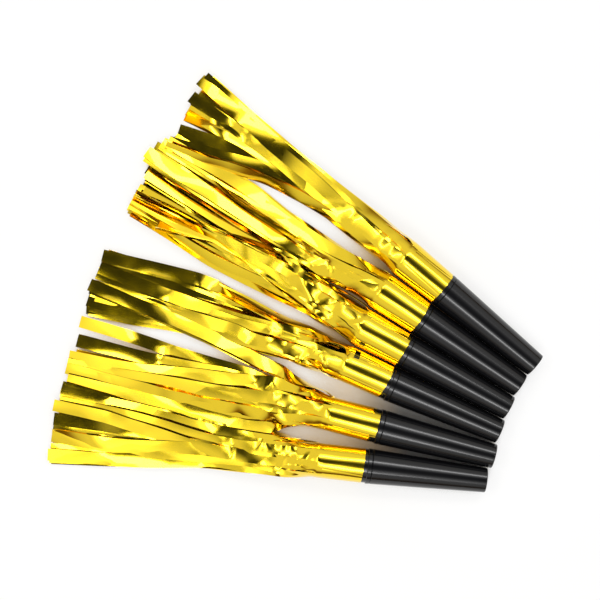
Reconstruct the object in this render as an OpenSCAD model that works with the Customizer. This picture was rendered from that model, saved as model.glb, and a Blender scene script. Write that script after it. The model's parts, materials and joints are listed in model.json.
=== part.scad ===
// Six fringed party squawkers lying side by side in a fan.
// Each is a black tapered mouthpiece, a black barrel plugged into it with the reed inside, and a
// gold foil tube on the barrel's spigot, slit into two layers of ribbons past the barrel.
// The set stands on z = 0, with the origin at the middle of its footprint.

/* [Mouthpiece] */
// Outside diameter at the mouth
mouth_d = 12.8; // [12:0.1:13.6]
// Outside diameter at the wide end, where the foil begins
wide_d = 18.6; // [18.2:0.1:20]
// Length of the mouthpiece
mouthpiece_len = 60.6; // [56:0.2:70]
// Diameter of the straight bore that the player blows into
bore_d = 10; // [8:0.1:10.4]
// Length of that straight bore
bore_len = 13; // [8:0.5:16]
// Radius of the rounded lip round the mouth
lip_r = 0.6; // [0.3:0.1:0.8]
// Diameter of the socket that holds the barrel's plug
socket_d = 15.2; // [15:0.1:15.6]
// Depth of that socket
socket_len = 12; // [9:0.5:15]
// Width of the ledge that stops the plug
ledge_w = 0.8; // [0.5:0.1:1.2]
// Bevel on the edges that meet at the joint line between mouthpiece and barrel
joint_bevel = 0.3; // [0.1:0.05:0.5]

/* [Barrel] */
// Width of the flange that shows between the mouthpiece and the foil
flange_w = 2.4; // [1.5:0.1:4]
// Outside diameter of the spigot under the foil
spigot_d = 17.6; // [16:0.1:17.7]
// Length of the spigot under the foil
spigot_len = 23.3; // [18:0.1:30]
// Wall of the plug and of the spigot
barrel_wall = 1; // [0.8:0.1:1.2]

/* [Reed] */
// Thickness of the disc that closes the barrel round the reed
seat_len = 6; // [4:0.5:8]
// Depth of that disc's face inside the plug
seat_inset = 0.5; // [0.3:0.1:1]
// Outside diameter of the shallot, the half tube under the tongue
shallot_d = 6.8; // [6:0.1:7.4]
// Length of the shallot in front of the disc
shallot_len = 28; // [22:0.5:32]
// Wall of the shallot
shallot_wall = 1.2; // [0.9:0.1:1.4]
// Height of the shallot's flat above its axis
flat_h = 1.2; // [0.8:0.1:1.6]
// Width of the tongue
tongue_w = 5; // [4.4:0.1:5.4]
// Thickness of the tongue
tongue_t = 0.25; // [0.2:0.05:0.4]
// Angle that the tongue stands open at rest, in degrees
tongue_open = 2; // [1:0.5:3]
// Room round the tongue in its slot
tongue_room = 0.2; // [0.15:0.05:0.3]
// Outside diameter of the collar that clamps the tongue
collar_d = 10.4; // [9.8:0.1:11]
// Length of the collar
collar_len = 5; // [4:0.5:6]
// Length by which the tongue stays short of the disc and of the shallot's tip
tongue_short = 0.5; // [0.3:0.1:1]

/* [Foil] */
// Thickness of the foil, thicker here than real film so that it is a solid
foil_t = 0.3; // [0.3:0.05:0.4]
// Length of the fringe past the barrel
fringe_len = 142.4; // [110:0.2:170]
// Ribbons in each of the two layers
ribbons = 8; // [6:2:8]
// Slit between two ribbons
slit_w = 0.8; // [0.4:0.1:1]
// Step between the two layers where they leave the barrel
layer_step = 0.6; // [0.6:0.1:0.9]
// Height of one layer of ribbons where they lie in a pile
pile_step = 1.2; // [1:0.1:2]
// Height of the two waves along the ribbons
wave_h = 1.5; // [0:0.1:3]
// Length by which the inner layer is cut shorter
inner_short = 1.5; // [0:0.5:4]
// Share of its width that the fringe loses where it is gathered behind the barrel
gather = 0.16; // [0:0.02:0.2]

/* [Fan] */
// Turn of the first squawker from the X axis, in degrees
first_turn = 39.4; // [30:0.1:50]
// Gap between two squawkers that lie against each other
touch_gap = 0.3; // [0.3:0.05:1]

/* [Hidden] */
$fn = 96;
// Clearance of a push fit
fit_gap = 0.05;
// Gap between the end of the foil tube and the root of a ribbon
root_gap = 0.3;
// Cross-sections along a ribbon
stations = 9;
black = "#1b1b1d";
gold = "#ecc512";
pale_gold = "#f6dc52";
reed_grey = "#d8d8d2";
reed_gold = "#c9a227";

// How far each squawker stands out towards the mouths past the one before, in mouth diameters
slips = [0, 0, 0.09, 0.09, 0.14, -0.12];
// How much wider than touching each one stands from the one before, in degrees
splays = [0, 0, 0, 0, 3.7, 2.3];
// How far the end of each fringe leans to the next squawker, as a share of the pitch there
leans = [0.04, -0.04, -0.1, 0.28, 0.02, -0.05];
// How much wider than its ribbons side by side each fringe spreads
spreads = [0, 0, 0, 0.12, 0.12, 0.24];

mouth_r = mouth_d / 2;
cone_len = mouthpiece_len + flange_w;
taper = atan((wide_d - mouth_d) / 2 / cone_len);
foil_end = cone_len + spigot_len;
plug_z = mouthpiece_len - socket_len;
plug_r = socket_d / 2 - fit_gap;
plug_bore_r = plug_r - barrel_wall;
spigot_r = spigot_d / 2;
wrap_r = spigot_r + fit_gap;
seat_z = plug_z + seat_inset;
shallot_r = shallot_d / 2;
tongue_x = flat_h + tongue_room;
pivot_z = seat_z - collar_len / 2;

// The cone lies on its own side, so its axis climbs by the taper from the mouth.
axis_h = mouth_r * cos(taper);
apex_run = axis_h / tan(taper);
// Plan angle between two equal cones that share an apex on the floor and touch all along
touch_turn = acos((cos(2 * taper) - pow(sin(taper), 2)) / pow(cos(taper), 2));
touch_pitch = 2 * apex_run * sin(touch_turn / 2) + touch_gap;
fringe_x = (foil_end + root_gap) * cos(taper) + fringe_len;
lane_pitch = 2 * (apex_run + fringe_x) * sin(touch_turn / 2);

// Turn of squawker i, and the plan directions to its mouth and to its next neighbour
function turn(i) = i == 1 ? first_turn : turn(i - 1) - touch_turn - splays[i - 1];
function ahead(a) = [cos(a), -sin(a)];
function beside(a) = [-sin(a), -cos(a)];

// Centre of the mouth of squawker i in plan, before the set is centred
function mouth_at(i) = i == 1 ? [0, 0] : mouth_at(i - 1)
    + beside(turn(i - 1) - touch_turn / 2) * touch_pitch
    + ahead(turn(i - 1) - touch_turn / 2) * slips[i - 1] * mouth_d;

// Width of a ribbon whose layer leaves the barrel at distance a from the axis
function ribbon_w(a) = 2 * a * tan(180 / ribbons) - slit_w;
outer_a = wrap_r;
inner_a = outer_a - layer_step;
half_row = ribbons / 2;

// Half the width of fringe i at its end, and its sideways lean there
function fringe_half(i) = half_row * (ribbon_w(outer_a) + slit_w) / 2 * (1 + spreads[i - 1]);
function fringe_lean(i) = leans[i - 1] * lane_pitch;

// Corners of the footprint: how far the mouths and the fringe ends reach along direction e
function mouth_reach(i, e) = mouth_at(i) * e
    + mouth_r * norm([beside(turn(i)) * e, ahead(turn(i)) * e * sin(taper)]);
function fringe_reach(i, e) = max([for (side = [-1, 1])
    (mouth_at(i) - ahead(turn(i)) * fringe_x
        + beside(turn(i)) * (fringe_lean(i) + side * fringe_half(i))) * e]);
function reach(e) = max([for (i = [1:6]) max(mouth_reach(i, e), fringe_reach(i, e))]);
middle = [reach([1, 0]) - reach([-1, 0]), reach([0, 1]) - reach([0, -1])] / 2;

PIECES = ["mouthpiece", "barrel", "reed_seat", "reed_tongue", "reed_collar", "foil_wrap",
    "fringe_outer", "fringe_inner"];

// Places its children in squawker i's plan frame: +X runs from under the mouth to the fringe,
// and +Y points to the next squawker.
module on_floor(i) {
    at = mouth_at(i) - middle;
    translate([at.x, at.y, 0]) rotate(180 - turn(i)) children();
}

// Places its children on squawker i's axis: +Z runs from the mouth to the fringe, and -X is up.
module on_axis(i) {
    on_floor(i) translate([0, 0, axis_h]) rotate([0, 90 - taper, 0]) children();
}

// Radius of the outer cone at distance z from the mouth
function cone_r(z) = mouth_r + z * tan(taper);

module mouthpiece(i) {
    lip = [for (a = [0:15:90]) [mouth_r - lip_r + lip_r * sin(a), lip_r * (1 - cos(a))]];
    color(black) on_axis(i) rotate_extrude() polygon(concat(
        lip,
        [
            [cone_r(mouthpiece_len - joint_bevel), mouthpiece_len - joint_bevel],
            [cone_r(mouthpiece_len) - joint_bevel, mouthpiece_len],
            [socket_d / 2, mouthpiece_len],
            [socket_d / 2, plug_z],
            [socket_d / 2 - ledge_w, plug_z],
            [bore_d / 2, bore_len],
            [bore_d / 2, 0]
        ]));
}

module barrel(i) {
    color(black) on_axis(i) rotate_extrude() polygon([
        [plug_bore_r, plug_z],
        [plug_r, plug_z],
        [plug_r, mouthpiece_len],
        [cone_r(mouthpiece_len) - joint_bevel, mouthpiece_len],
        [cone_r(mouthpiece_len + joint_bevel), mouthpiece_len + joint_bevel],
        [cone_r(cone_len - joint_bevel), cone_len - joint_bevel],
        [cone_r(cone_len) - joint_bevel, cone_len],
        [spigot_r, cone_len],
        [spigot_r, foil_end],
        [spigot_r - barrel_wall, foil_end],
        [spigot_r - barrel_wall, cone_len],
        [plug_bore_r, cone_len]
    ]);
}

// The disc pressed into the barrel, with the shallot standing out of it towards the mouth.
// The shallot is a tube with a closed tip, cut flat along its top so that its bore is open there.
module reed_seat(i) {
    color(reed_grey) on_axis(i) difference() {
        union() {
            translate([0, 0, seat_z]) cylinder(h = seat_len, r = plug_bore_r - fit_gap);
            translate([0, 0, seat_z - shallot_len]) cylinder(h = shallot_len + 1, r = shallot_r);
        }
        translate([0, 0, seat_z - shallot_len + shallot_wall])
            cylinder(h = shallot_len + seat_len, r = shallot_r - shallot_wall);
        translate([-flat_h - shallot_r, -shallot_r, seat_z - shallot_len - 1])
            cube([shallot_r, 2 * shallot_r, shallot_len + 1]);
    }
}

// The springy tongue over the shallot's slot, standing a little open towards its tip
module reed_tongue(i) {
    front = shallot_len - collar_len / 2 - tongue_short;
    color(reed_gold) on_axis(i)
        translate([-tongue_x - tongue_t / 2, 0, pivot_z]) rotate([0, tongue_open, 0])
            translate([-tongue_t / 2, -tongue_w / 2, -front])
                cube([tongue_t, tongue_w, front + collar_len / 2 - tongue_short]);
}

// The collar round the foot of the shallot, with the tongue's slot through it
module reed_collar(i) {
    slot_w = tongue_w + 2 * tongue_room;
    color(reed_grey) on_axis(i) translate([0, 0, seat_z - collar_len]) difference() {
        cylinder(h = collar_len, d = collar_d);
        intersection() {
            translate([0, 0, -1]) cylinder(h = collar_len + 2, r = shallot_r + fit_gap);
            translate([-flat_h - fit_gap, -collar_d / 2, -1])
                cube([collar_d, collar_d, collar_len + 2]);
        }
        translate([-tongue_x - tongue_t - tongue_room, -slot_w / 2, -1])
            cube([tongue_t + 2 * tongue_room, slot_w, collar_len + 2]);
    }
}

module foil_wrap(i) {
    color(gold) on_axis(i) translate([0, 0, cone_len]) difference() {
        cylinder(h = spigot_len, r = wrap_r + foil_t);
        translate([0, 0, -1]) cylinder(h = spigot_len + 2, r = wrap_r);
    }
}

function mix(a, b, f) = a * (1 - f) + b * f;

// Share of the way that a ribbon has sunk to the pile at share s of its length
function sunk(s) = 1 - pow(1 - s, 1.4);
// Share of its width that the fringe keeps there: it is gathered close behind the barrel
function gathered(s) = 1 - gather * pow(sin(180 * min(1, s / 0.5)), 2);
function wave(s) = wave_h * (1 - cos(720 * s)) / 2;

// One corner of a ribbon's cross-section at share s of its length. The ribbon leaves the barrel
// flat against the foil tube, at angle t from the top of its half, and ends flat in the pile.
// a is its layer's distance from the axis, e the corner's place across it, d its depth outwards,
// u is 1 in the upper half and -1 in the lower, y and z are the place of its end.
function corner(s, t, a, e, d, u, y, z, x, lean) =
    let (
        v = u * ((a + d) * cos(t) - e * sin(t)),
        root_x = (foil_end + root_gap) * cos(taper) - v * sin(taper),
        root_y = (a + d) * sin(t) + e * cos(t),
        root_z = axis_h + (foil_end + root_gap) * sin(taper) + v * cos(taper),
        end_z = z + (u > 0 ? d : foil_t - d)
    )
    [
        mix(root_x, x, s),
        mix(root_y, y + e, s) * gathered(s) + lean * s * s,
        mix(root_z, end_z, sunk(s)) + wave(s)
    ];

module ribbon(t, a, u, y, z, x, lean) {
    w = ribbon_w(a);
    section = [[-w / 2, 0], [w / 2, 0], [w / 2, foil_t], [-w / 2, foil_t]];
    turned = u > 0 ? [for (k = [3:-1:0]) section[k]] : section;
    points = [for (j = [0:stations - 1]) for (c = turned)
        corner(j / (stations - 1), t, a, c[0], c[1], u, y, z, x, lean)];
    last = 4 * (stations - 1);
    // Opposite faces are split along the same diagonal, so that a twisted ribbon keeps its thickness.
    sides = [for (j = [0:stations - 2]) for (k = [0:3]) for (half = [0, 1])
        let (p = 4 * j + k, q = 4 * j + (k + 1) % 4)
        k < 2 ? (half == 0 ? [p, q, q + 4] : [p, q + 4, p + 4])
            : (half == 0 ? [p, q, p + 4] : [q, q + 4, p + 4])];
    caps = [[2, 1, 0], [3, 2, 0], [last, last + 1, last + 2], [last, last + 2, last + 3]];
    polyhedron(points, concat(sides, caps));
}

// One layer of ribbons of squawker i: half of them roll off the top of the barrel, half off the
// bottom, and they come to lie side by side in a pile. A packed layer's halves lie against
// opposite edges of the fringe instead of spreading over its whole width.
module ribbon_layer(i, a, upper_z, lower_z, short, packed) {
    w = ribbon_w(a);
    edge = fringe_half(i) - w / 2;
    pitch = packed ? w + slit_w : 2 * edge / (half_row - 1);
    on_floor(i) for (k = [0:half_row - 1]) {
        t = -90 + (k + 0.5) * 360 / ribbons;
        ribbon(t, a, 1, edge - (half_row - 1 - k) * pitch, upper_z, fringe_x - short,
            fringe_lean(i));
        ribbon(t, a, -1, k * pitch - edge, lower_z, fringe_x - short, fringe_lean(i));
    }
}

module fringe_outer(i) {
    color(gold) ribbon_layer(i, outer_a, 3 * pile_step, 0, 0, false);
}

module fringe_inner(i) {
    color(pale_gold) ribbon_layer(i, inner_a, 2 * pile_step, pile_step, inner_short, true);
}

for (i = [1:6]) {
    mouthpiece(i);
    barrel(i);
    reed_seat(i);
    reed_tongue(i);
    reed_collar(i);
    foil_wrap(i);
    fringe_outer(i);
    fringe_inner(i);
}
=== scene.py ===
"""Six fringed party squawkers in a fan: black mouthpieces, foil sleeves and slit foil fringes."""

import json
import math

import bpy
import numpy as np
from mathutils import Matrix


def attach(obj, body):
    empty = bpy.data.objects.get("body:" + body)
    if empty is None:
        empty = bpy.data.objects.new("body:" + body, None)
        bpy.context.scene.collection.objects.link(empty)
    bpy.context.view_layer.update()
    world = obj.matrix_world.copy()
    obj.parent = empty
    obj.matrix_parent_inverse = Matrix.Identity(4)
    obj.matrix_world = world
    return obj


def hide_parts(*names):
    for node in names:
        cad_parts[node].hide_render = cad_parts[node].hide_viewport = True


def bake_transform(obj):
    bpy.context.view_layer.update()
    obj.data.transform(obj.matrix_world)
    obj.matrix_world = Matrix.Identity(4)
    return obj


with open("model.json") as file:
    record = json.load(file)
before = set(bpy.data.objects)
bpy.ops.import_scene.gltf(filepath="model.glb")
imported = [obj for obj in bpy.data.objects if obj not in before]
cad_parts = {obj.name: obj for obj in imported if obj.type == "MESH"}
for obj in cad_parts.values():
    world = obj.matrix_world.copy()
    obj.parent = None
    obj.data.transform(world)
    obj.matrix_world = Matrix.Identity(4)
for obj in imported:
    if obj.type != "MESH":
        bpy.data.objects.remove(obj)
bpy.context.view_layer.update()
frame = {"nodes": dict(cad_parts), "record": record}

# ---------------------------------------------------------------------------------------------
# Table and lamps: a white board under three softboxes, one on each side of the fan and one past
# its fringes, which light up the cloth of a white tent round them. The tent is dark at its top
# opening and brown at its rim.
# ---------------------------------------------------------------------------------------------

# Sizes of the object are in millimetres throughout, and those of the stage in metres.
MM = 0.001
SQUAWKERS = range(1, 7)
BOARD_SIDE = 6.0
# How far the softboxes stand off, and how much nearer each one's cloth is than its strip.
LAMP_DISTANCE = 1.3
CLOTH_AHEAD = 0.02
# Each softbox: which way it stands from straight up as (x, y) for a height of 1, along which
# direction it is long, and its sides.
SOFTBOXES = [
    ((0.28, 0.56), (0.98, 0.17), (1.1, 0.46)),
    ((-0.04, -0.53), (-0.45, 0.89), (1.0, 0.46)),
    ((-0.52, 0.05), (0.1, 0.99), (0.9, 0.28)),
]
# Each softbox has a bright strip behind its cloth: shares of its sides, and radiance of each.
STRIP_AND_CLOTH = [(0.9, 0.36, 6.0), (1.0, 1.0, 0.7)]
# Colour of the tent by the cosine of the angle to its top opening, and radiance of the cloth lit
# up round each softbox by the cosine of the angle to it.
TENT_TOP = (0.0, 0.06, 0.998)
TENT = [
    (0, "#5c4328"), (0.14, "#7d603e"), (0.3, "#d8d5cf"), (0.5, "#ebeae8"), (0.78, "#eae9e7"),
    (0.87, "#a8a8a8"), (0.93, "#6c6c6c"), (0.965, "#4e4f51"), (0.985, "#3c3d40"), (1, "#2e3033"),
]
LIT_CLOTH = [(0.94, 0), (0.975, 0.35), (1, 1.1)]
# The board's colour; the painted shade it gets by how open it lies, grey by the cones and with a
# painted golden glow by the foil; the distances from the mouths over which the foil's painted
# colours take over from the cones'; and the share of this painted look over the lit one.
BOARD_WHITE = "#f8f8f7"
BOARD_PAINTED_SHADE_BY_CONES = [(0.04, "#000000"), (0.24, "#24221f"), (0.4, "#8b857b"), (0.54, "#ffffff")]
BOARD_PAINTED_SHADE_AND_GLOW_BY_FOIL = [(0.03, "#000000"), (0.18, "#6e4f24"), (0.36, "#d3b076"), (0.5, "#fffefc")]
FOIL_FROM, FOIL_TO = 50, 80
PAINTED_LOOK_SHARE = 0.75
CAMERA_AT = (0.0026, -0.0105, 1.5)
CAMERA_LENS = 171.8


def linear(code):
    """sRGB hex colour as linear RGBA: each channel c becomes c / 12.92 up to 0.04045, and
    ((c + 0.055) / 1.055) ** 2.4 above."""
    channels = [int(code[k : k + 2], 16) / 255 for k in (1, 3, 5)]
    return [c / 12.92 if c <= 0.04045 else ((c + 0.055) / 1.055) ** 2.4 for c in channels] + [1]


def add(tree, kind, settings=None, links=None):
    """Adds a node of that kind, sets its properties and unlinked sockets, and links the rest."""
    node = tree.nodes.new("ShaderNode" + kind)
    for key, value in (settings or {}).items():
        if isinstance(key, str) and hasattr(node, key):
            setattr(node, key, value)
        else:
            node.inputs[key].default_value = value
    for key, output in (links or {}).items():
        tree.links.new(output, node.inputs[key])
    return node


def set_stops(node, stops):
    """Gives a colour ramp node its stops, each as (place, sRGB hex colour or grey radiance)."""
    elements = node.color_ramp.elements
    elements[1].position, elements[0].position = stops[-1][0], stops[0][0]
    for at, _ in stops[1:-1]:
        elements.new(at)
    for element, (_, level) in zip(elements, stops):
        element.color = linear(level) if isinstance(level, str) else [level, level, level, 1]


def new_material(name):
    """An empty material with its node tree and output node."""
    material = bpy.data.materials.new(name)
    material.use_nodes = True
    material.node_tree.nodes.clear()
    return material, material.node_tree, add(material.node_tree, "OutputMaterial")


def mount(i):
    """The record's mount in the mouth of squawker i."""
    return next(m for m in frame["record"]["mounts"] if m["name"] == f"mouth_{i}")


lamp_directions = []
for (x, y), along, sides in SOFTBOXES:
    back = np.array([x, y, 1]) / math.hypot(x, y, 1)
    lamp_directions.append(back)
    right = np.array([*along, 0]) - back * np.dot(back[:2], along)
    right /= np.linalg.norm(right)
    turn = Matrix(np.stack([right, np.cross(back, right), back], axis=1).tolist()).to_euler()
    for k, (of_length, of_width, radiance) in enumerate(STRIP_AND_CLOTH):
        lamp = bpy.data.lights.new("softbox", "AREA")
        lamp.shape = "RECTANGLE"
        lamp.size, lamp.size_y = sides[0] * of_length, sides[1] * of_width
        lamp.energy = radiance * math.pi * lamp.size * lamp.size_y
        lamp_object = bpy.data.objects.new("softbox", lamp)
        lamp_object.location = back * (LAMP_DISTANCE - CLOTH_AHEAD * k)
        lamp_object.rotation_euler = turn
        bpy.context.scene.collection.objects.link(lamp_object)

world = bpy.data.worlds.new("white tent")
world.use_nodes = True
world.node_tree.nodes.clear()
sky = world.node_tree
look = add(sky, "TexCoord").outputs["Generated"]


def ramp(direction, stops):
    """Background whose colour depends on the cosine between the look direction and that one,
    straight between the stops."""
    cosine = add(sky, "VectorMath", {"operation": "DOT_PRODUCT", 1: direction}, {0: look})
    shade = add(sky, "ValToRGB", links={0: cosine.outputs["Value"]})
    set_stops(shade, stops)
    return add(sky, "Background", links={"Color": shade.outputs[0]})


tent = ramp(TENT_TOP, TENT)
for direction in lamp_directions:
    lit = ramp(direction, LIT_CLOTH)
    tent = add(sky, "AddShader", links={0: tent.outputs[0], 1: lit.outputs[0]})
# Past the board's edge the camera sees plain white, and only the object mirrors the tent.
backdrop = add(sky, "Background", {"Color": (1, 1, 1, 1)})
looking = add(sky, "LightPath").outputs["Is Camera Ray"]
around = add(sky, "MixShader", links={0: looking, 1: tent.outputs[0], 2: backdrop.outputs[0]})
add(sky, "OutputWorld", links={"Surface": around.outputs[0]})
bpy.context.scene.world = world

# White laminate: the camera and mirrored rays see most of it as plain white emission with painted
# shade, which keeps a quarter of every real shadow. An occlusion ramp paints it dark deep between
# the squawkers: painted grey shade by the black cones, and a painted golden glow where the foil
# would throw light on it.
board_material, tree, out = new_material("white laminate board")
paint = add(tree, "BsdfPrincipled", {"Base Color": linear(BOARD_WHITE), "Roughness": 0.6})
# Painted shade: how open the board lies, read by ambient occlusion, picks darker colours for its
# emission.
open_sky = add(tree, "AmbientOcclusion", {"samples": 12, "Distance": 0.014})
painted_shade_by_cones = add(tree, "ValToRGB", links={0: open_sky.outputs["AO"]})
set_stops(painted_shade_by_cones, BOARD_PAINTED_SHADE_BY_CONES)
painted_shade_and_glow_by_foil = add(tree, "ValToRGB", links={0: open_sky.outputs["AO"]})
set_stops(painted_shade_and_glow_by_foil, BOARD_PAINTED_SHADE_AND_GLOW_BY_FOIL)
mouths = np.mean([mount(i)["pos_m"] for i in SQUAWKERS], axis=0).tolist()
place = add(tree, "TexCoord").outputs["Object"]
away = add(tree, "VectorMath", {"operation": "DISTANCE", 1: mouths}, {0: place})
# The painted shade of the cones near the mouths gives way to the painted golden glow of the foil
# further out.
foil_near = add(
    tree,
    "MapRange",
    {"From Min": FOIL_FROM * MM, "From Max": FOIL_TO * MM},
    {"Value": away.outputs["Value"]},
)
plain = add(
    tree,
    "Mix",
    {"data_type": "RGBA"},
    {0: foil_near.outputs[0], 6: painted_shade_by_cones.outputs[0], 7: painted_shade_and_glow_by_foil.outputs[0]},
)
# Emission in the painted colours: white in the open, with painted shade and a painted golden glow
# where the board is hemmed in.
white = add(tree, "Emission", {"Strength": 1.0}, {"Color": plain.outputs[2]})
ray = add(tree, "LightPath").outputs
seen = ray["Is Camera Ray"]
for kind in ("Is Glossy Ray", "Is Transmission Ray"):
    seen = add(tree, "Math", {"operation": "MAXIMUM"}, {0: seen, 1: ray[kind]}).outputs[0]
share = add(tree, "Math", {"operation": "MULTIPLY", 1: PAINTED_LOOK_SHARE}, {0: seen})
looks = {0: share.outputs[0], 1: paint.outputs[0], 2: white.outputs[0]}
tree.links.new(add(tree, "MixShader", links=looks).outputs[0], out.inputs["Surface"])
board_mesh = bpy.data.meshes.new("board")
half = BOARD_SIDE / 2
board_mesh.from_pydata(
    [(-half, -half, 0), (half, -half, 0), (half, half, 0), (-half, half, 0)], [], [(0, 1, 2, 3)]
)
board_mesh.materials.append(board_material)
board = bpy.data.objects.new("board", board_mesh)
bpy.context.scene.collection.objects.link(board)

camera = bpy.data.objects.new("camera", bpy.data.cameras.new("camera"))
camera.data.sensor_width = 36
camera.data.lens = CAMERA_LENS
camera.location = CAMERA_AT
bpy.context.scene.collection.objects.link(camera)
bpy.context.scene.camera = camera
bpy.context.scene.view_settings.view_transform = "Standard"

# ---------------------------------------------------------------------------------------------
# Mouthpieces and barrels: injection-moulded black polypropylene. The mould was polished, so the
# cones keep a satin gloss, with a faint flow grain and a few scuffs from the box.
# ---------------------------------------------------------------------------------------------

BLACK = "#0c0c0e"
SCUFF = "#2c2c2f"


def black_polypropylene():
    """Moulded polypropylene: a dark satin body, whose gloss varies softly and shows fine scuffs."""
    material, tree, out = new_material("black polypropylene")
    place = add(tree, "TexCoord").outputs["Object"]
    cloudy = add(tree, "TexNoise", {"Scale": 90, "Detail": 4, "Roughness": 0.55}, {"Vector": place})
    fine = add(tree, "TexNoise", {"Scale": 1400, "Detail": 2}, {"Vector": place})
    scuffs = add(tree, "TexNoise", {"Scale": 420, "Detail": 6, "Roughness": 0.7}, {"Vector": place})
    worn = add(tree, "MapRange", {"From Min": 0.66, "From Max": 0.76}, {"Value": scuffs.outputs[0]})
    colour = add(
        tree, "Mix", {"data_type": "RGBA", 6: linear(BLACK), 7: linear(SCUFF)}, {0: worn.outputs[0]}
    )
    gloss = add(tree, "MapRange", {"To Min": 0.12, "To Max": 0.17}, {"Value": cloudy.outputs[0]})
    bump = add(tree, "Bump", {"Strength": 0.12, "Distance": 0.02 * MM}, {"Height": fine.outputs[0]})
    body = add(
        tree,
        "BsdfPrincipled",
        {"IOR": 1.5, "Specular IOR Level": 0.5},
        {"Base Color": colour.outputs[2], "Roughness": gloss.outputs[0], "Normal": bump.outputs[0]},
    )
    tree.links.new(body.outputs[0], out.inputs["Surface"])
    return material


black_plastic = black_polypropylene()
for i in SQUAWKERS:
    for piece in ("mouthpiece", "barrel"):
        node = frame["nodes"][f"{piece}_{i}"]
        for slot in node.material_slots:
            slot.material = black_plastic

# ---------------------------------------------------------------------------------------------
# Reeds: white polystyrene seat and collar, pressed into the barrel, and a springy tongue punched
# out of amber polyester film. They sit inside the barrel, where a look down the mouthpiece finds
# them.
# ---------------------------------------------------------------------------------------------

REED_WHITE = "#e9e8e2"
REED_AMBER = "#c9a04a"


def moulded(name, code, roughness, grain):
    """Plain moulded or rolled plastic: one colour that clouds slightly, over a fine grain."""
    material, tree, out = new_material(name)
    place = add(tree, "TexCoord").outputs["Object"]
    cloudy = add(tree, "TexNoise", {"Scale": grain, "Detail": 3}, {"Vector": place})
    shade = add(tree, "MapRange", {"To Min": 0.9, "To Max": 1.06}, {"Value": cloudy.outputs[0]})
    colour = add(
        tree,
        "Mix",
        {"data_type": "RGBA", "blend_type": "MULTIPLY", 0: 1.0, 6: linear(code)},
        {7: shade.outputs[0]},
    )
    relief = {"Strength": 0.1, "Distance": 0.02 * MM}
    bump = add(tree, "Bump", relief, {"Height": cloudy.outputs[0]})
    body = add(
        tree,
        "BsdfPrincipled",
        {"Roughness": roughness, "IOR": 1.57},
        {"Base Color": colour.outputs[2], "Normal": bump.outputs[0]},
    )
    tree.links.new(body.outputs[0], out.inputs["Surface"])
    return material


white_polystyrene = moulded("white polystyrene", REED_WHITE, 0.3, 700)
amber_polyester = moulded("amber polyester film", REED_AMBER, 0.2, 1500)
for i in SQUAWKERS:
    for piece, material in (
        ("reed_seat", white_polystyrene),
        ("reed_collar", white_polystyrene),
        ("reed_tongue", amber_polyester),
    ):
        for slot in frame["nodes"][f"{piece}_{i}"].material_slots:
            slot.material = material

# ---------------------------------------------------------------------------------------------
# Foil sleeves: gold-lacquered, aluminium-metallised polyester film, rolled on the spigot and
# glued there. The front edge steps where the lap starts, and shallow creases run along the tube.
# ---------------------------------------------------------------------------------------------

GOLD = "#fcd90e"
SLEEVE_GRID = (220, 60)
SLEEVE_WALL = 0.22
# How far inside the tube's outline and behind its front the film lies, and how much its lap adds
# round the tube.
SLEEVE_INSET, FRONT_GAP = 0.06, 0.05
LAP_STEP = 0.05
# Depth and half width in degrees of a crease, and half width in degrees of the loose bulges.
CREASE_DEPTH, CREASE_WIDTH = 0.09, 3
LOOSE_WIDTH = 36
# Edges of the film sharper than this many degrees stay sharp.
SHARP_ANGLE = 38
# For each sleeve: the angle of its lap, how far back its front edge lies and how far it slants,
# the angles between which the edge steps back and by how much, how far the loose film stands off
# on the first and the last squawker's side at its end, and its creases as (angle, lean).
SLEEVES = {
    1: (-56, 0.0, 0.2, (-100, -60), 0.4, (0.9, 1.2), [(-50, 8), (24, -6), (75, 4)]),
    2: (60, 0.0, -0.2, (30, 80), 0.2, (1.2, 1.2), [(-48, -4), (62, -5)]),
    3: (-45, 0.0, 0.3, (-95, -50), 0.5, (1.2, 1.2), [(-48, 3), (70, 5)]),
    4: (70, 1.8, 1.0, (50, 110), 0.2, (1.2, 0.0), [(-45, 5), (33, -3)]),
    5: (41, 0.4, 0.0, (41, 310), 2.3, (0.0, 0.0), [(37, 2), (62, -4)]),
    6: (-70, 1.9, 0.3, (-110, -75), 0.3, (0.0, 0.0), [(33, -9), (66, 6)]),
}
# Where the end of a sleeve is torn back: from and to which angle, and how far.
TORN = {4: (-66, -34, 3.0)}


def measure_sleeve(i):
    """Where the CAD sleeve of squawker i starts and ends along the axis, and its outside radius:
    the spans of its vertices along the axis and away from it, in millimetres."""
    mesh = frame["nodes"][f"foil_wrap_{i}"].data
    corners = np.empty(3 * len(mesh.vertices))
    mesh.vertices.foreach_get("co", corners)
    axis = -np.array(mount(i)["axis"])
    mouth = np.array(mount(i)["pos_m"]) - axis * mount(i)["dims"]["length_mm"] / 2 * MM
    away = corners.reshape(-1, 3) - mouth
    along = away @ axis
    radius = np.linalg.norm(away - along[:, None] * axis, axis=1)
    return along.min() / MM, along.max() / MM, radius.max() / MM


def in_row(i, points):
    """Row coordinates in metres of points in squawker i's own frame: x along the floor to the
    fringe, y to the next squawker and z up, in millimetres from the floor under the mouth."""
    axis = np.array(mount(i)["axis"])
    mouth = np.array(mount(i)["pos_m"]) + axis * mount(i)["dims"]["length_mm"] / 2 * MM
    ahead = -axis[:2] / np.hypot(*axis[:2])
    x, y, z = points[..., 0] * MM, points[..., 1] * MM, points[..., 2] * MM
    return np.stack(
        [mouth[0] + x * ahead[0] - y * ahead[1], mouth[1] + x * ahead[1] + y * ahead[0], z], axis=-1
    )


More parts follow.
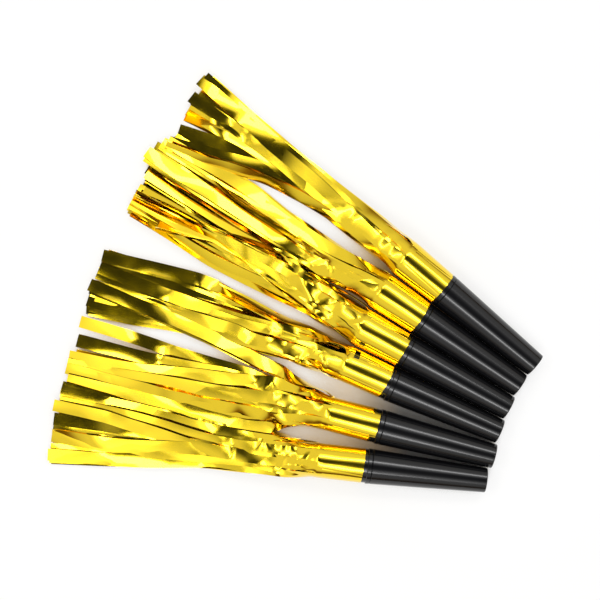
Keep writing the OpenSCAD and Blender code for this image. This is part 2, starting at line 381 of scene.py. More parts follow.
def round_axis(i, along, angle, radius):
    """Points at a distance along squawker i's axis, an angle from its top towards the next
    squawker and a radius: the axis climbs from the mouth, and the radius leans back with it."""
    slope = math.asin(-mount(i)["axis"][2])
    height = mount(i)["pos_m"][2] / MM - mount(i)["dims"]["length_mm"] / 2 * math.sin(slope)
    up = radius * np.cos(angle)
    return np.stack(
        [
            along * math.cos(slope) - up * math.sin(slope),
            radius * np.sin(angle) + 0 * along,
            height + along * math.sin(slope) + up * math.cos(slope),
        ],
        axis=-1,
    )


def film_piece(name, outside, inside, closed, uv, material):
    """A closed mesh of two like grids of points, one surface for each side of the film, joined
    round their edges. Grids are (sheets, rows, columns, 3). Where closed, the last column joins
    the first. Each side keeps its own place in the flat film as UV."""
    sheets, rows, columns = outside.shape[:3]
    count = sheets * rows * columns
    index = np.arange(count).reshape(sheets, rows, columns)
    wide = np.concatenate([index, index[:, :, :1]], axis=2) if closed else index
    a, b, c, d = wide[:, :-1, :-1], wide[:, :-1, 1:], wide[:, 1:, 1:], wide[:, 1:, :-1]
    front = np.stack([a, d, c, b], axis=-1).reshape(-1, 4)
    faces = [front, front[:, ::-1] + count]
    borders = [wide[:, 0, :], wide[:, -1, ::-1]]
    if not closed:
        borders += [wide[:, ::-1, 0], wide[:, :, -1]]
    for line in borders:
        one, next_one = line[:, :-1], line[:, 1:]
        rim = np.stack([one, next_one, next_one + count, one + count], axis=-1)
        faces.append(rim.reshape(-1, 4))
    faces = np.concatenate(faces)
    mesh = bpy.data.meshes.new(name)
    points = np.concatenate([outside.reshape(-1, 3), inside.reshape(-1, 3)])
    mesh.from_pydata(points.tolist(), [], faces.tolist())
    flat = mesh.uv_layers.new(name="flat film")
    flat.data.foreach_set("uv", np.concatenate([uv.reshape(-1, 2)] * 2)[faces.ravel()].ravel())
    mesh.polygons.foreach_set("use_smooth", np.ones(len(faces), bool))
    mesh.set_sharp_from_angle(angle=math.radians(SHARP_ANGLE))
    mesh.materials.append(material)
    piece = bpy.data.objects.new(name, mesh)
    bpy.context.scene.collection.objects.link(piece)
    return piece


def gold_film():
    """Gold-lacquered metallised polyester: a mirror of aluminium under yellow lacquer, under the
    film's own clear gloss. Handling clouds the gloss and leaves very shallow dents."""
    material, tree, out = new_material("gold metallised polyester film")
    place = add(tree, "TexCoord").outputs["Object"]
    cloudy = add(tree, "TexNoise", {"Scale": 140, "Detail": 5, "Roughness": 0.6}, {"Vector": place})
    gloss = add(
        tree,
        "MapRange",
        {"From Min": 0.3, "From Max": 0.7, "To Min": 0.08, "To Max": 0.14},
        {"Value": cloudy.outputs[0]},
    )
    dents = add(tree, "TexNoise", {"Scale": 160, "Detail": 1, "Roughness": 0.3}, {"Vector": place})
    relief = {"Strength": 0.025, "Distance": 0.1 * MM}
    bump = add(tree, "Bump", relief, {"Height": dents.outputs[0]})
    body = add(
        tree,
        "BsdfPrincipled",
        {
            "Base Color": linear(GOLD),
            "Metallic": 1.0,
            "Coat Weight": 0.8,
            "Coat Roughness": 0.05,
            "Coat IOR": 1.5,
        },
        {"Roughness": gloss.outputs[0], "Normal": bump.outputs[0]},
    )
    tree.links.new(body.outputs[0], out.inputs["Surface"])
    return material


def sleeve_wall(i, turn, share):
    """Outside radius of sleeve i at an angle in degrees and a share of its length: two low ripples
    round it, a step at the lap, bell-shaped grooves for the creases, and bell-shaped bulges on
    both sides, which grow straight from a fifth at its front to all at its end."""
    lap, _, _, _, _, loose, creases = SLEEVES[i]
    angle = np.radians(turn)
    ripple = 0.02 * np.sin(5 * angle + 2 * share + i)
    ripple = ripple + 0.015 * np.sin(9 * angle - 5 * share + 2 * i)
    wall = measure_sleeve(i)[2] - SLEEVE_INSET + ripple + LAP_STEP * ((turn - lap) % 360) / 360
    for place, lean in creases:
        off = (turn - place - lean * share + 180) % 360 - 180
        wall = wall - CREASE_DEPTH * np.exp(-((off / CREASE_WIDTH) ** 2))
    for side, amount in zip((-90, 90), loose):
        off = (turn - side + 180) % 360 - 180
        wall = wall + amount * (0.2 + 0.8 * share) * np.exp(-((off / LOOSE_WIDTH) ** 2))
    return wall


gold = gold_film()
for i, (_, back, slant, stepped, step, _, _) in SLEEVES.items():
    start, end, _ = measure_sleeve(i)
    angle = np.radians(np.linspace(-180, 180, SLEEVE_GRID[0], endpoint=False))[None, :]
    share = np.linspace(0, 1, SLEEVE_GRID[1])[:, None]
    turn = np.degrees(angle)
    front = start + FRONT_GAP + back + np.maximum(slant * np.sin(angle), -back)
    front = front + ((turn - stepped[0]) % 360 < stepped[1] - stepped[0]) * step
    torn_from, torn_to, torn_back = TORN.get(i, (0, 0, 0))
    ends = end - torn_back * ((turn > torn_from) & (turn < torn_to))
    along = front + share * (ends - front)
    wall = sleeve_wall(i, turn, share)
    outside = round_axis(i, along, angle, wall)
    inside = round_axis(i, along, angle, wall - SLEEVE_WALL)
    uv = np.stack([(angle + math.pi) / (2 * math.pi) + 0 * share, share + 0 * angle], axis=-1)
    sleeve = film_piece(
        f"foil_sleeve_{i}", in_row(i, outside)[None], in_row(i, inside)[None], True, uv[None], gold
    )
    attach(sleeve, f"squawker_{i}")
    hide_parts(f"foil_wrap_{i}")

# ---------------------------------------------------------------------------------------------
# Fringes: past the barrel the same film is slit into two layers of eight ribbons, which fall
# from the tube into a loose pile. Each ribbon has its own kinks, cockles and curl.
# ---------------------------------------------------------------------------------------------

# Ribbons in a layer and their width, points along and across one, and the film's thickness, drawn
# thicker than it is so that its edges show.
RIBBONS, RIBBON = 8, 6.5
ROWS, COLUMNS = 200, 10
FILM = 0.08
# A ribbon starts straight on from the tube over this length, in which it closes in to this share.
STRAIGHT, CLOSED_IN = 3, 0.985
# How much deeper every other ribbon is tucked, and where past the rim the tuck is deepest, how far
# it reaches from there as a bell, and over what length it sets in.
OTHER_TUCK = 0.4
TUCK_AT, TUCK_REACH, TUCK_RAMP = 24, 20, 6
# The power of the sag, and how the film lets go of the rim: how far it follows the sleeve's wall,
# how far the step from it fades, how fast its roundness goes, and where its own waves set in.
SAG_FROM, SAG_POWER = 2.5, 2.6
WALL_HOLD, WALL_FADE = 3.4, 7
ROUND_FOR = 13
WAVES_FROM, WAVES_OVER = 4, 18
# Shortest and longest pitch of each of a ribbon's waves, of which the sixth is drawn and left out,
# and how far it turns, lifts, sways and curls on them.
PITCHES = ([40, 26, 60, 70, 30, 22], [70, 44, 100, 110, 44, 40])
TURNS, LIFTS, SWAY = (1.6, 0.5), (0.3, 0.12), 0.25
CURL, CURL_WAVE, LEAST_CURL = 0.014, 0.012, 1e-4
# Over how many rows a kink in the middle line and in the turn is softened.
KINK_ROWS, TURN_ROWS = 3, 1.4
# Least height of the film over the board, and how much it rises to the edges of a ribbon.
FLOOR_GAP, FLOOR_CURL = 0.15, 0.02
# Ribbons that leave the tube less than this many degrees from its top share the single folds.
FOLDED_TO = 100
# A stretch past the rim, whose ends on each squawker's axis are worked out but not used.
BEND_FROM, BEND_TO = -0.5, 32
# Each ribbon: the angle round the tube at which it leaves it, the height of its end in the pile,
# and the points of its middle line as (x, y, turn): x from under the mouth, y towards the next
# squawker, and its turn about its own length, 0 lying flat face up.
OUTER = {
    1: [
        (-32, 4.2, [
            (100, -6, -30), (118, -6.2, -38), (135, -5.6, -30), (150, -5, -16), (170, -4.4, -10),
            (212, -3.6, 2),
        ]),
        (13, 5.2, [
            (100, 2.4, 10), (112, 1.6, 16), (130, 0, 13), (150, -1.2, 8), (165, -1.2, 3),
            (180, -1.5, -3), (198, -3, -12), (204, -3.4, -4), (218, -4, -14), (230, -4.4, -6),
        ]),
        (58, 4, [
            (100, 6.6, 48), (115, 5.6, 30), (130, 4.6, 12), (150, 3.2, 10), (165, 2.8, 14),
            (184, 3, 16), (192, 3.6, 10), (200, 4.2, 24), (206, 4.5, 2), (228, 5.2, 0),
        ]),
        (103, 5, [
            (100, 9, 70), (110, 8.6, 60), (120, 7.6, 50), (130, 7.1, 44), (140, 8, 40),
            (150, 9.6, 36), (160, 12, 40), (170, 14.6, 42), (180, 18.4, 38), (190, 22, 36),
            (200, 26.8, 40), (222, 34, 30),
        ]),
        (148, 1.8, [
            (100, 6.5, 150), (120, 6.6, 172), (150, 6, 184), (165, 6, 186), (180, 8, 176),
            (190, 10.6, 180), (200, 14.6, 184), (222, 23, 180),
        ]),
        (193, 2.6, [
            (100, 1.5, 192), (120, 4, 186), (150, 6.6, 180), (165, 8.2, 176), (178, 11, 182),
            (190, 16.8, 184), (200, 21.8, 180), (222, 31.5, 182),
        ]),
        (-122, 0.9, [
            (100, -6, -140), (130, -3.5, -172), (160, -1.5, -180), (200, 1, -180), (226, 2, -184),
        ]),
        (-77, 3.2, [
            (92, -9.9, -84), (104, -9.2, -78), (114, -8.2, -60), (130, -7, -44), (150, -6.2, -34),
            (170, -5.6, -26), (198, -5.6, -16), (226, -7.2, -5),
        ]),
    ],
    2: [
        (34, 4.8, [
            (100, 5, 30), (119, 6, 14), (130, 4.8, 10), (150, 6.4, -12), (170, 7.3, -14),
            (190, 7.7, -12), (210, 8.4, -15), (230, 8.2, -10),
        ]),
        (-11, 4, [
            (100, -0.6, -14), (115, 0.4, -30), (130, 1.6, -46), (150, 1.6, -52), (165, 1.4, -50),
            (180, 1.2, -48), (190, 0, -40), (200, 0.2, -20), (215, 0.5, -14), (226, 0.6, -10),
        ]),
        (-56, 4.4, [
            (90, -7.4, -56), (105, -6, -40), (120, -4, -22), (135, -3.4, -14), (150, -3.4, -12),
            (170, -5, -16), (190, -4.4, -26), (205, -3.5, -20), (224, -2.5, -15),
        ]),
        (79, 3.4, [
            (100, 8.6, 70), (120, 10, 40), (150, 13.6, -20), (170, 15.6, -16), (200, 17, -14),
            (223, 17, -12),
        ]),
        (124, 2.4, [
            (100, 7, 120), (120, 8.5, 140), (140, 11, 135), (170, 13, 128), (200, 14, 130),
            (224, 13.5, 140),
        ]),
        (169, 1, [(100, 2, 170), (130, 4, 182), (170, 7, 180), (200, 9, 178), (228, 10, 182)]),
        (214, 0.8, [(100, -4, 212), (130, -2, 190), (170, 0, 180), (226, 3, 178)]),
        (-101, 2.8, [
            (92, -9.6, -100), (110, -8, -84), (130, -6.2, -50), (150, -5.2, -28), (170, -6.6, -20),
            (190, -6, -20), (222, -5.5, -10),
        ]),
    ],
    3: [
        (-90, 4.6, [
            (92, -11.2, -88), (102, -12.5, -80), (112, -10.6, -62), (125, -11.5, -58),
            (134, -12.2, -14), (138, -12.4, -20), (142, -12.8, -60), (150, -12.4, -64),
            (165, -10.5, -60), (180, -8.6, -58), (200, -8, -55), (223, -7, -45),
        ]),
        (-45, 4, [
            (100, -7, -40), (115, -7, -20), (128, -8, 12), (145, -10.4, -30), (160, -12.6, -28),
            (180, -13.2, -24), (200, -15, -18), (225, -16.6, -14),
        ]),
        (0, 5, [
            (96, -2, 6), (105, -2.5, 22), (115, -3, -18), (125, -4, 20), (140, -5, 12),
            (155, -4.8, 10), (170, -4.6, 16), (178, -5, 20), (190, -5.2, 48), (205, -4.6, 50),
            (225, -3.6, 42),
        ]),
        (45, 4.4, [
            (100, 4.5, 34), (112, 2, -16), (122, 1, 22), (130, -0.5, 12), (145, -1, 14),
            (160, -0.6, 12), (175, -2.6, 18), (190, -2.6, 50), (205, -1.6, 54), (225, -0.9, 48),
        ]),
        (90, 3.4, [
            (95, 9, 86), (110, 7.4, 62), (120, 5.8, 50), (130, 3.6, 40), (140, 4.6, 34),
            (150, 5.5, 30), (160, 6.2, 28), (175, 6.7, 32), (190, 6.2, 36), (210, 4.6, 44),
            (225, 3.9, 50),
        ]),
        (135, 5.4, [
            (100, 6, 130), (130, 4, 110), (160, -1, 95), (178, -0.5, 80), (190, 3.2, 78),
            (207, 7, 74),
        ]),
        (180, 1, [(100, 0, 180), (140, -2, 184), (180, -6, 180), (224, -10, 176)]),
        (225, 1.2, [
            (100, -6, 220), (130, -8, 190), (170, -9, 178), (200, -7, 180), (222, -5, 182),
        ]),
    ],
    4: [
        (-87, 3.6, [
            (95, -9.9, -84), (104, -9.6, -70), (112, -9.4, -58), (125, -9.2, -62), (140, -10, -60),
            (155, -10.3, -54), (163, -10.3, -40), (168, -10.2, -14), (174, -10, -12),
            (177, -9.8, 0), (200, -6.2, 1), (227, -1.5, 0),
        ]),
        (-42, 4.6, [
            (87, -8.2, -58), (91, -9.4, -80), (98, -9.3, -80), (105, -7.9, -55), (112, -6, -28),
            (120, -4.2, -6), (130, -2.4, 12), (150, 1, 16), (170, 3, 12), (186, 4.2, 10),
            (193, 4.6, -2), (200, 4.8, -3), (226, 5, 0),
        ]),
        (3, 4.2, [
            (95, 0.6, 5), (105, 2.2, 22), (120, 4.6, -14), (132, 6.6, 18), (140, 8, 12),
            (147, 6.6, 16), (160, 8.4, 12), (175, 9.8, 14), (200, 12, 10), (226, 15.5, 5),
        ]),
        (48, 2.6, [
            (95, 6.4, 46), (105, 7.4, 62), (115, 6.6, 40), (130, 8, 20), (150, 10.4, 8),
            (180, 15, 3), (195, 19.6, 0), (210, 22, 2), (225, 23.4, 0),
        ]),
        (93, 3.2, [
            (92, 9.4, 96), (100, 9, 74), (108, 8.4, 52), (118, 8.6, 60), (130, 10.8, 52),
            (145, 11.2, 44), (165, 11, 38), (185, 13, 20), (222, 19, 8),
        ]),
        (138, 1.2, [(100, 6, 140), (130, 7, 176), (160, 9, 182), (190, 15, 180), (224, 27, 181)]),
        (183, 0.9, [(100, 0, 184), (130, 0, 180), (170, 2, 180), (226, 8, 182)]),
        (228, 1, [(100, -6, 226), (130, -5, 192), (170, -4, 180), (200, -2, 178), (226, 3, 180)]),
    ],
    5: [
        (-100, 5.6, [
            (92, -11.2, -96), (102, -12, -78), (112, -13.2, -52), (119, -15.8, -24),
            (130, -16.8, -16), (136, -18.4, -12), (151, -21.6, -14), (161, -23.6, -10),
            (180, -26.9, -12), (190, -28.4, -8), (196, -29.2, -2), (210, -31.3, 0), (227, -33.6, 0),
        ]),
        (-55, 5, [
            (95, -8.4, -58), (110, -9.2, -34), (120, -8.4, -18), (123, -8, -2), (130, -6.5, -2),
            (132, -6.2, 14), (140, -4.8, 13), (150, -3.3, 10), (160, -2.4, 12), (170, -0.8, 14),
            (180, 1, 12), (190, 2.8, 13), (200, 4, 15), (210, 4.7, 14), (228, 5.5, 16),
        ]),
        (-10, 4.2, [
            (90, -1, -8), (97, -1, 10), (105, -0.6, 14), (112, -0.8, -6), (120, -0.5, 14),
            (126, 0.4, 12), (135, 1.5, 16), (150, 3.4, 14), (165, 4.8, 16), (180, 6.2, 18),
            (200, 8, 18), (228, 9.5, 16),
        ]),
        (35, 3.4, [
            (100, 6.2, 36), (110, 8.6, 22), (118, 10, 40), (125, 9, 20), (135, 9.6, 38),
            (145, 10.6, 22), (155, 11.6, 36), (165, 12, 24), (175, 12.2, 36), (185, 12, 20),
            (200, 12, 16), (228, 11.6, 18),
        ]),
        (80, 2.6, [
            (95, 9.4, 80), (103, 9.6, 70), (110, 11, 50), (118, 15.4, 18), (130, 17.4, 14),
            (140, 17, 4), (160, 17, 3), (180, 17.2, 8), (200, 17.4, 14), (226, 17.6, 14),
        ]),
        (125, 1.2, [
            (100, 7, 128), (120, 10, 160), (150, 13, 180), (190, 14.5, 182), (226, 15.2, 178),
        ]),
        (170, 0.9, [(100, 2, 172), (130, 4, 180), (170, 7, 180), (226, 9, 182)]),
        (215, 1.6, [
            (100, -5, 214), (130, -6.5, 190), (160, -5, 182), (190, -4, 176), (226, -3.6, 180),
        ]),
    ],
    6: [
        (-20, 4.6, [
            (90, -3, -18), (101, -2.4, -14), (103, -2.3, 12), (106, -2.1, -6), (108, -2, 14),
            (111, -2, -10), (122, -2, 6), (132, -2.1, 16), (134, -2.2, -2), (142, -3, 12),
            (150, -4, 14), (160, -5.6, 12), (170, -7.4, 13), (185, -9.4, 10), (200, -11, 14),
            (226, -13.4, 12),
        ]),
        (25, 5.4, [
            (95, 3.4, 26), (110, 3, 12), (124, 2.6, -10), (138, 2, 12), (150, 1.3, 15),
            (160, -0.5, 13), (170, -2.5, 14), (180, -4.3, 12), (190, -6, 16), (200, -8.2, 13),
            (215, -10, 18), (229, -11.5, 16),
        ]),
        (70, 3, [
            (92, 8.4, 70), (104, 9, 48), (112, 8, 20), (125, 8, 6), (140, 7.6, 12), (150, 8, 4),
            (165, 9.3, 0), (180, 11, 2), (195, 12.8, 2), (203, 13.6, 14), (229, 15.1, 13),
        ]),
        (-110, 3.6, [
            (92, -9.2, -108), (104, -10.4, -84), (114, -10.6, -56), (124, -9.8, -30),
            (130, -9.5, -4), (138, -9.6, -3), (139, -9.6, 12), (145, -9.9, 14), (147, -10, 6),
            (152, -10.5, 4), (153, -10.6, -4), (165, -11.9, -3), (170, -12.4, 8), (200, -15.9, 10),
            (205, -16.4, 0), (226, -19.3, 0),
        ]),
        (-65, 3, [
            (95, -8, -62), (112, -7.4, -30), (130, -7, -10), (150, -8.6, 10), (175, -12.4, 8),
            (200, -17, 2), (226, -21, 0),
        ]),
        (115, 1.4, [
            (100, 7.6, 118), (130, 8, 160), (160, 9.6, 178), (190, 13, 182), (227, 16.6, 180),
        ]),
        (160, 0.9, [(100, 3, 162), (140, 4, 180), (180, 4, 178), (228, 4.5, 180)]),
        (205, 1, [(100, -3, 206), (140, -3, 184), (180, -4, 180), (226, -5, 182)]),
    ],
}
INNER = {
    1: [
        (-9.5, 4.6, [
            (100, -1.4, -8), (115, -1.2, 4), (130, -2.6, 12), (150, -3.6, 5), (180, -4.2, -4),
            (200, -5.4, -10), (229, -6.4, 0),
        ]),
        (35.5, 3.5, [
            (100, 4.2, 30), (130, 3.4, 14), (160, 2.4, 10), (185, 2, 14), (205, 4, -6),
            (226, 6, -4),
        ]),
        (80.5, 3, [
            (100, 7.4, 66), (125, 5.6, 34), (150, 4.6, 12), (175, 4.8, -14), (190, 6, -20),
            (200, 8, -16), (212, 10.4, 20), (225, 12, 26),
        ]),
        (125.5, 4.2, [
            (100, 8, 120), (120, 7, 70), (140, 7.4, 50), (160, 11, 44), (180, 17, 46),
            (200, 25, 44), (220, 32, 40),
        ]),
        (170.5, 1.3, [
            (100, 2, 172), (130, 4, 182), (165, 6.4, 176), (190, 11.8, 186), (221, 25, 178),
        ]),
        (215.5, 1.6, [
            (100, -3, 210), (130, 1, 190), (160, 6, 184), (190, 14.5, 176), (220, 29.5, 180),
        ]),
        (-99.5, 2.2, [
            (100, -5, -110), (130, -2, -160), (160, 2, -178), (185, 6, -172), (200, 9.6, -150),
            (224, 15, -140),
        ]),
        (-54.5, 2.4, [
            (100, -7, -56), (125, -6.5, -44), (150, -5.5, -20), (180, -4, -8), (215, -2, -4),
        ]),
    ],
    2: [
        (56.5, 4.2, [
            (100, 6.5, 48), (119, 8.5, 20), (135, 7, -5), (150, 8.2, -10), (170, 8.8, -18),
            (190, 9.2, -16), (210, 10, -12), (229, 10.2, -10),
        ]),
        (11.5, 3.2, [
            (100, 1.5, 10), (130, 2.6, -30), (150, 2.4, -54), (170, 2.4, -50), (190, 1.6, -30),
            (212, 2.6, -8), (228, 4, -6),
        ]),
        (-33.5, 3.8, [
            (100, -3.4, -34), (120, -2, -20), (150, -2, -10), (175, -3.4, -10), (200, -1.6, -24),
            (226, 0, -20),
        ]),
        (101.5, 2.6, [
            (100, 8, 100), (125, 10.5, 150), (150, 14.5, 166), (175, 16.4, 164), (200, 18, 166),
            (222, 18.6, 168),
        ]),
        (146.5, 1.6, [(100, 5, 150), (140, 9, 178), (180, 12, 182), (225, 15, 180)]),
        (191.5, 1.2, [(100, -1, 190), (140, 2, 182), (180, 4, 178), (227, 6, 180)]),
        (236.5, 1.2, [(100, -6, 232), (140, -3, 188), (180, -1, 180), (224, -1, 182)]),
        (-78.5, 2.2, [
            (100, -8, -76), (130, -5, -40), (160, -4, -18), (190, -3, -30), (223, -1, -25),
        ]),
    ],
    3: [
        (-67.5, 3.8, [
            (92, -8.6, -66), (110, -9.4, -50), (130, -12.4, -40), (150, -13.4, -50),
            (170, -11.6, -48), (190, -9.8, -40), (222, -9, -30),
        ]),
        (-22.5, 4.2, [
            (100, -4, -14), (112, -6, 16), (124, -6.5, -14), (140, -7, 14), (160, -6.2, 18),
            (180, -5.4, 10), (200, -6.6, -16), (225, -7, -20),
        ]),
        (22.5, 3.6, [
            (100, 1, 20), (115, 0, -14), (130, -2, 16), (150, -2, -14), (175, -4.5, -20),
            (200, 0.4, -22), (225, 1.8, -20),
        ]),
        (67.5, 2.8, [
            (100, 7.6, 60), (120, 4, 30), (140, 2.5, 10), (165, 3.5, 14), (190, 5, 30),
            (224, 4.6, 35),
        ]),
        (112.5, 2.2, [
            (100, 8, 110), (125, 6.5, 140), (150, 7, 155), (175, 8, 150), (200, 6.6, 140),
            (222, 5.5, 140),
        ]),
        (157.5, 1.4, [(100, 3, 160), (140, 3, 180), (180, 2, 182), (223, 2.5, 180)]),
        (202.5, 1.6, [(100, -3, 200), (140, -6, 186), (180, -11, 176), (224, -15.4, 180)]),
        (247.5, 2, [
            (100, -8, 245), (130, -9.5, 215), (160, -9, 196), (190, -5, 230), (224, -2.4, 236),
        ]),
    ],
    4: [
        (-64.5, 2.8, [
            (90, -9.2, -76), (102, -9.2, -78), (112, -8.4, -70), (125, -7.4, -40), (150, -9, -26),
            (175, -9.2, -6), (200, -5.4, 4), (225, -0.8, 2),
        ]),
        (-19.5, 4, [
            (89, -2, -10), (100, -0.6, -4), (115, -0.4, 14), (130, 0, 16), (150, 3, 12),
            (170, 5, 10), (190, 7, -4), (226, 7.8, -2),
        ]),
        (25.5, 3.6, [
            (100, 4, 30), (112, 5, -16), (125, 6, 20), (140, 9.2, 14), (160, 10, 10), (180, 12, 6),
            (225, 17.5, 4),
        ]),
        (70.5, 2, [
            (100, 8, 66), (120, 8, 30), (150, 12, 6), (180, 17.8, 2), (200, 23, 0), (222, 27, 2),
        ]),
        (115.5, 1.8, [
            (100, 7.5, 118), (130, 9.5, 150), (160, 12, 172), (190, 17, 178), (223, 24.6, 180),
        ]),
        (160.5, 1.2, [(100, 3, 162), (140, 6, 180), (180, 12, 178), (224, 20, 180)]),
        (205.5, 1.3, [(100, -3, 206), (140, -2, 186), (180, 3, 180), (225, 5.5, 180)]),
        (250.5, 1.6, [
            (100, -8, 246), (130, -7, 210), (160, -7.5, 190), (190, -6, 182), (225, -2.5, 180),
        ]),
    ],
    5: [
        (-77.5, 3.6, [
            (92, -9.4, -78), (105, -9.2, -60), (128, -8.6, -20), (140, -9.8, -6), (160, -10.2, 4),
            (176, -10.8, 12), (190, -11.7, -4), (200, -12.3, 10), (227, -13.5, 14),
        ]),
        (-32.5, 4, [
            (100, -4.6, -30), (120, -6, -14), (150, -6, 12), (170, -4.6, 12), (181, -4.1, 14),
            (183, -4, 0), (205, -4, 0), (226, -3.5, -1),
        ]),
        (12.5, 3.6, [
            (100, 2, 12), (115, 3, -16), (130, 4.4, 14), (150, 5.6, 12), (175, 7, 14),
            (200, 9.4, 16), (227, 10.8, 14),
        ]),
        (57.5, 2.6, [
            (100, 8, 54), (112, 10.4, 30), (130, 12, 28), (150, 13.4, 24), (175, 13.8, 26),
            (200, 13.4, 20), (226, 12.6, 16),
        ]),
        (102.5, 1.9, [
            (100, 9.2, 100), (112, 11.5, 60), (122, 15, 20), (150, 16.2, 10), (190, 16.6, 12),
            (225, 16.6, 10),
        ]),
        (147.5, 1.3, [(100, 5, 150), (130, 8, 176), (170, 10.5, 180), (225, 13, 182)]),
        (192.5, 1, [(100, -2, 190), (140, -1, 182), (180, 2, 180), (225, 4, 178)]),
        (-122.5, 4.4, [
            (100, -10.6, -118), (110, -11.8, -80), (120, -14.6, -40), (135, -17, -20),
            (160, -22.4, -14), (190, -27, -10), (226, -32, -2),
        ]),
    ],
    6: [
        (-42.5, 4, [
            (100, -5, -36), (125, -4, -10), (150, -2.5, -8), (170, -3, 4), (182, -3.6, 0),
            (205, -3.8, 0), (228, -4, -1),
        ]),
        (2.5, 4.4, [
            (100, 0.4, -10), (115, 1.4, 14), (135, 2, -8), (155, 2.4, 8), (165, 3, 10),
            (185, 4.6, 14), (200, 5.2, 12), (212, 4.4, 34), (228, 3.6, 44),
        ]),
        (47.5, 3.8, [
            (95, 6.4, 48), (103, 7.4, 20), (110, 6, -10), (125, 5, 12), (145, 5.4, 10),
            (165, 6.2, 6), (185, 7.6, 10), (205, 6.4, 14), (228, 5, 30),
        ]),
        (92.5, 2.2, [
            (92, 9.2, 92), (105, 9.4, 60), (125, 9.2, 24), (150, 8.8, 6), (180, 12.2, 2),
            (228, 16.2, 10),
        ]),
        (137.5, 1.6, [(100, 6, 140), (130, 6, 168), (170, 8, 180), (228, 12, 182)]),
        (182.5, 0.8, [(100, 0, 182), (150, 0, 180), (228, 0, 180)]),
        (-132.5, 1.2, [(100, -6, -134), (130, -6, -170), (170, -9, -180), (226, -15, -180)]),
        (-87.5, 2.2, [
            (92, -9.6, -88), (110, -9.8, -64), (130, -8.6, -20), (160, -10, -4), (200, -14, 4),
            (226, -17.6, 4),
        ]),
    ],
}
# Single folds near the rim: the middle (x, y) of each, its slant from the length towards the next
# squawker, half its length, half its width and its height.
FOLDS = {
    1: [
        (96.5, 1, 84, 7, 3.2, 0.35), (103.5, 1, 80, 7, 3.2, 0.4), (124, 1, 75, 5, 3.5, 0.35),
        (135, 1.5, 28, 6, 2, 0.2),
    ],
    2: [
        (100.5, 2, 47, 11, 4.5, 0.75), (91, 1, 36, 5, 3, -0.35), (121.6, 6, 60, 5, 3, 0.45),
        (117.2, 6, 122, 5, 3, 0.45), (134, 3, 150, 6, 3, 0.3),
    ],
    3: [
        (91, 0, 42, 10, 3.2, 0.6), (98.5, 3.5, 32, 6, 2.2, -0.35), (104.5, -2.5, 70, 5, 3, -0.7),
        (124, -4, 148, 9, 4, 0.75), (112, -3, 95, 5, 3, 0.3),
    ],
    4: [
        (106, 1.5, 66, 5, 3, 0.4), (131, 1.5, 60, 5, 3.5, 0.4), (99, 5, 125, 5, 2.2, 0.6),
        (110, 7, 60, 5, 2.2, 0.6),
    ],
    5: [
        (91, -1, 82, 9, 3.2, 0.5), (103, 1, 38, 6, 2.5, -0.4), (119.5, -1.5, 86, 4, 2.6, 0.35),
        (123, -7.5, 75, 4, 1.6, -0.3), (104, -8, 30, 5, 2.5, 0.4), (114, 9, 140, 6, 3, 0.6),
    ],
    6: [
        (107, 4.5, 80, 6, 2.6, 0.4), (100, 5, 84, 6, 2.6, 0.4), (94, -1.5, 62, 5, 2, -0.4),
        (93, 5, 20, 5, 2, 0.4), (116, -5, 120, 4, 2, 0.35), (119, -5, 60, 4, 2, -0.3),
        (133, 1.5, 88, 4, 1.4, -0.25),
    ],
}
# Each layer's ribbons, how far it lies inside the sleeve's wall and how deep it is tucked.
LAYERS = {"outer": (OUTER, 0.0, 0.0), "inner": (INNER, 0.3, 0.9)}


def soften(values, rows):
    """values averaged over about that many neighbouring rows with a bell-shaped weight, after
    the ends are continued, so that a kink turns crisply but not within one row."""
    reach = int(3 * rows) + 1
    weight = np.exp(-0.5 * (np.arange(-reach, reach + 1) / rows) ** 2)
    longer = np.pad(values, reach, mode="reflect", reflect_type="odd")
    return np.convolve(longer, weight / weight.sum(), mode="valid")


def folded(i, x, y):
    """Height of the single folds of squawker i over the floor plan: each is its height times
    (1 - |share of its half width|) times (1 - share of its half length squared), and no less
    than 0."""
    rise = np.zeros(np.shape(x))
    for at_x, at_y, slant, half_length, half_width, height in FOLDS[i]:
        c, d = math.cos(math.radians(slant)), math.sin(math.radians(slant))
        length_share = ((x - at_x) * c + (y - at_y) * d) / half_length
        width_share = ((y - at_y) * c - (x - at_x) * d) / half_width
        rise += height * np.maximum(1 - np.abs(width_share), 0) * np.maximum(1 - length_share**2, 0)
    return rise


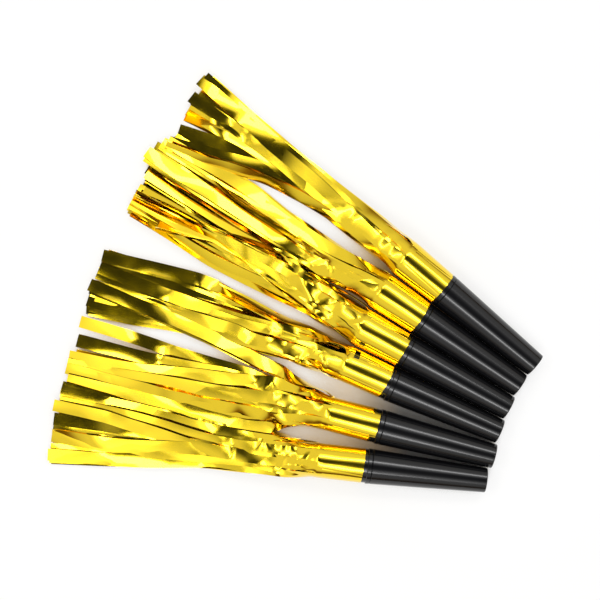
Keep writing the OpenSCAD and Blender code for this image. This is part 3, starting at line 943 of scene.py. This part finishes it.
def ribbon(i, angle, height, points, inset, tucked, seed):
    """Outer points, inner points and film UV of one ribbon. Its middle line goes from the rim of
    the sleeve through the given points, and sinks to its height in the pile as a power of what is
    left of its length. Across, it is an arc (sin(c e) / c, (cos(c e) - 1) / c) of curvature c at a
    place e: at the rim as round as the tube, and flatter with distance. Near the rim it lies as
    deep as it is tucked under its neighbours, and rises by the single folds that all ribbons of
    a squawker share. It has slight waves of its own."""
    draw = np.random.default_rng(seed)
    _, rim, radius = measure_sleeve(i)
    theta = math.radians(angle)
    root = round_axis(i, np.array(rim), theta, radius - SLEEVE_INSET - inset)
    first = [(root[0], root[1], angle), (root[0] + STRAIGHT, root[1] * CLOSED_IN, angle)]
    known = np.array(first + points)
    x = np.linspace(root[0], known[-1, 0], ROWS)
    past = x - root[0]
    share = past / past[-1]
    settled = np.clip((past - WAVES_FROM) / WAVES_OVER, 0, 1)
    y = soften(np.interp(x, known[:, 0], known[:, 1]), KINK_ROWS)
    turn = soften(np.interp(x, known[:, 0], known[:, 2]), TURN_ROWS)
    phase = draw.uniform(0, 1, 6)
    pitch = draw.uniform(*PITCHES)
    wave = [np.sin(2 * math.pi * (past / p + f)) for p, f in zip(pitch, phase)]
    turn = turn + settled * (TURNS[0] * wave[2] + TURNS[1] * wave[4])
    sunk = np.clip((past - SAG_FROM) / (past[-1] - SAG_FROM), 0, 1)
    z = height + (root[2] - height) * (1 - sunk) ** SAG_POWER
    z = z + settled * (LIFTS[0] * wave[0] + LIFTS[1] * wave[1])
    y = y + settled * SWAY * wave[3]
    middle = np.stack([x, y, z], axis=-1)
    ahead = np.gradient(middle, axis=0)
    ahead /= np.linalg.norm(ahead, axis=1, keepdims=True)
    roll = np.radians(turn)
    across = np.stack([0 * roll, np.cos(roll), -np.sin(roll)], axis=-1)
    across -= np.sum(across * ahead, axis=1, keepdims=True) * ahead
    across /= np.linalg.norm(across, axis=1, keepdims=True)
    normal = np.cross(ahead, across)
    full = 2 * math.pi * radius / RIBBONS
    width = RIBBON + (full - RIBBON) * np.exp(-((past / draw.uniform(4, 11)) ** 3))
    curve = np.exp(-((past / ROUND_FOR) ** 1.5)) / radius
    curve = curve + settled * (CURL + CURL_WAVE * wave[3])
    curve = np.where(np.abs(curve) < LEAST_CURL, LEAST_CURL, curve)[:, None]
    e = np.linspace(-0.5, 0.5, COLUMNS)[None, :] * width[:, None]
    sideways = np.sin(curve * e) / curve
    dip = (np.cos(curve * e) - 1) / curve
    tuck = tucked * np.exp(-(((past - TUCK_AT) / TUCK_REACH) ** 2))
    lift = -tuck[:, None] * np.clip(past / TUCK_RAMP, 0, 1)[:, None]
    if abs(angle) < FOLDED_TO:
        beside = y[:, None] + sideways * np.cos(roll)[:, None]
        lift = lift + folded(i, middle[:, :1] + 0 * sideways, beside)
    points_out = middle[:, None, :] + across[:, None, :] * sideways[..., None]
    points_out = points_out + normal[:, None, :] * (dip + lift)[..., None]
    # The root follows the wall of the sleeve exactly, and lets go of it over a few millimetres.
    around = angle + np.degrees(e[0] / radius)
    at_rim = sleeve_wall(i, around, 1.0) - inset
    hold = round_axis(i, np.array(rim), np.radians(around), at_rim)
    held = np.exp(-((past / WALL_HOLD) ** 4))[:, None, None]
    wall = round_axis(i, rim + past[:, None], np.radians(around)[None], at_rim[None])
    fade = np.exp(-((past / WALL_FADE) ** 2))[:, None, None]
    points_out = held * wall + (1 - held) * (points_out + (hold - points_out[0])[None] * fade)
    points_out[..., 2] = np.maximum(points_out[..., 2], FLOOR_GAP + FLOOR_CURL * e**2)
    step_x, step_e = np.gradient(points_out, axis=0), np.gradient(points_out, axis=1)
    facing = np.cross(step_x, step_e)
    facing /= np.linalg.norm(facing, axis=-1, keepdims=True)
    uv = np.stack([e / RIBBON + 0.5, share[:, None] + 0 * e], axis=-1)
    return points_out, points_out - FILM * facing, uv


for i in SQUAWKERS:
    hinge_start, hinge_end = (
        tuple(in_row(i, round_axis(i, np.array(at), 0.0, 0.0)).tolist())
        for at in (measure_sleeve(i)[1] + BEND_FROM, measure_sleeve(i)[1] + BEND_TO)
    )
    for layer, (paths, inset, tucked) in LAYERS.items():
        made = []
        for k, path in enumerate(paths[i]):
            seed = 1000 * i + 10 * k + (layer == "inner")
            made.append(ribbon(i, *path, inset, tucked + OTHER_TUCK * (k % 2), seed))
        outside, inside, uv = (np.stack([m[part] for m in made]) for part in range(3))
        uv[..., 0] = (uv[..., 0] + np.arange(RIBBONS)[:, None, None]) / RIBBONS
        ribbons = film_piece(
            f"{layer}_ribbons_{i}", in_row(i, outside), in_row(i, inside), False, uv, gold
        )
        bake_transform(ribbons)
        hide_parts(f"fringe_{layer}_{i}")
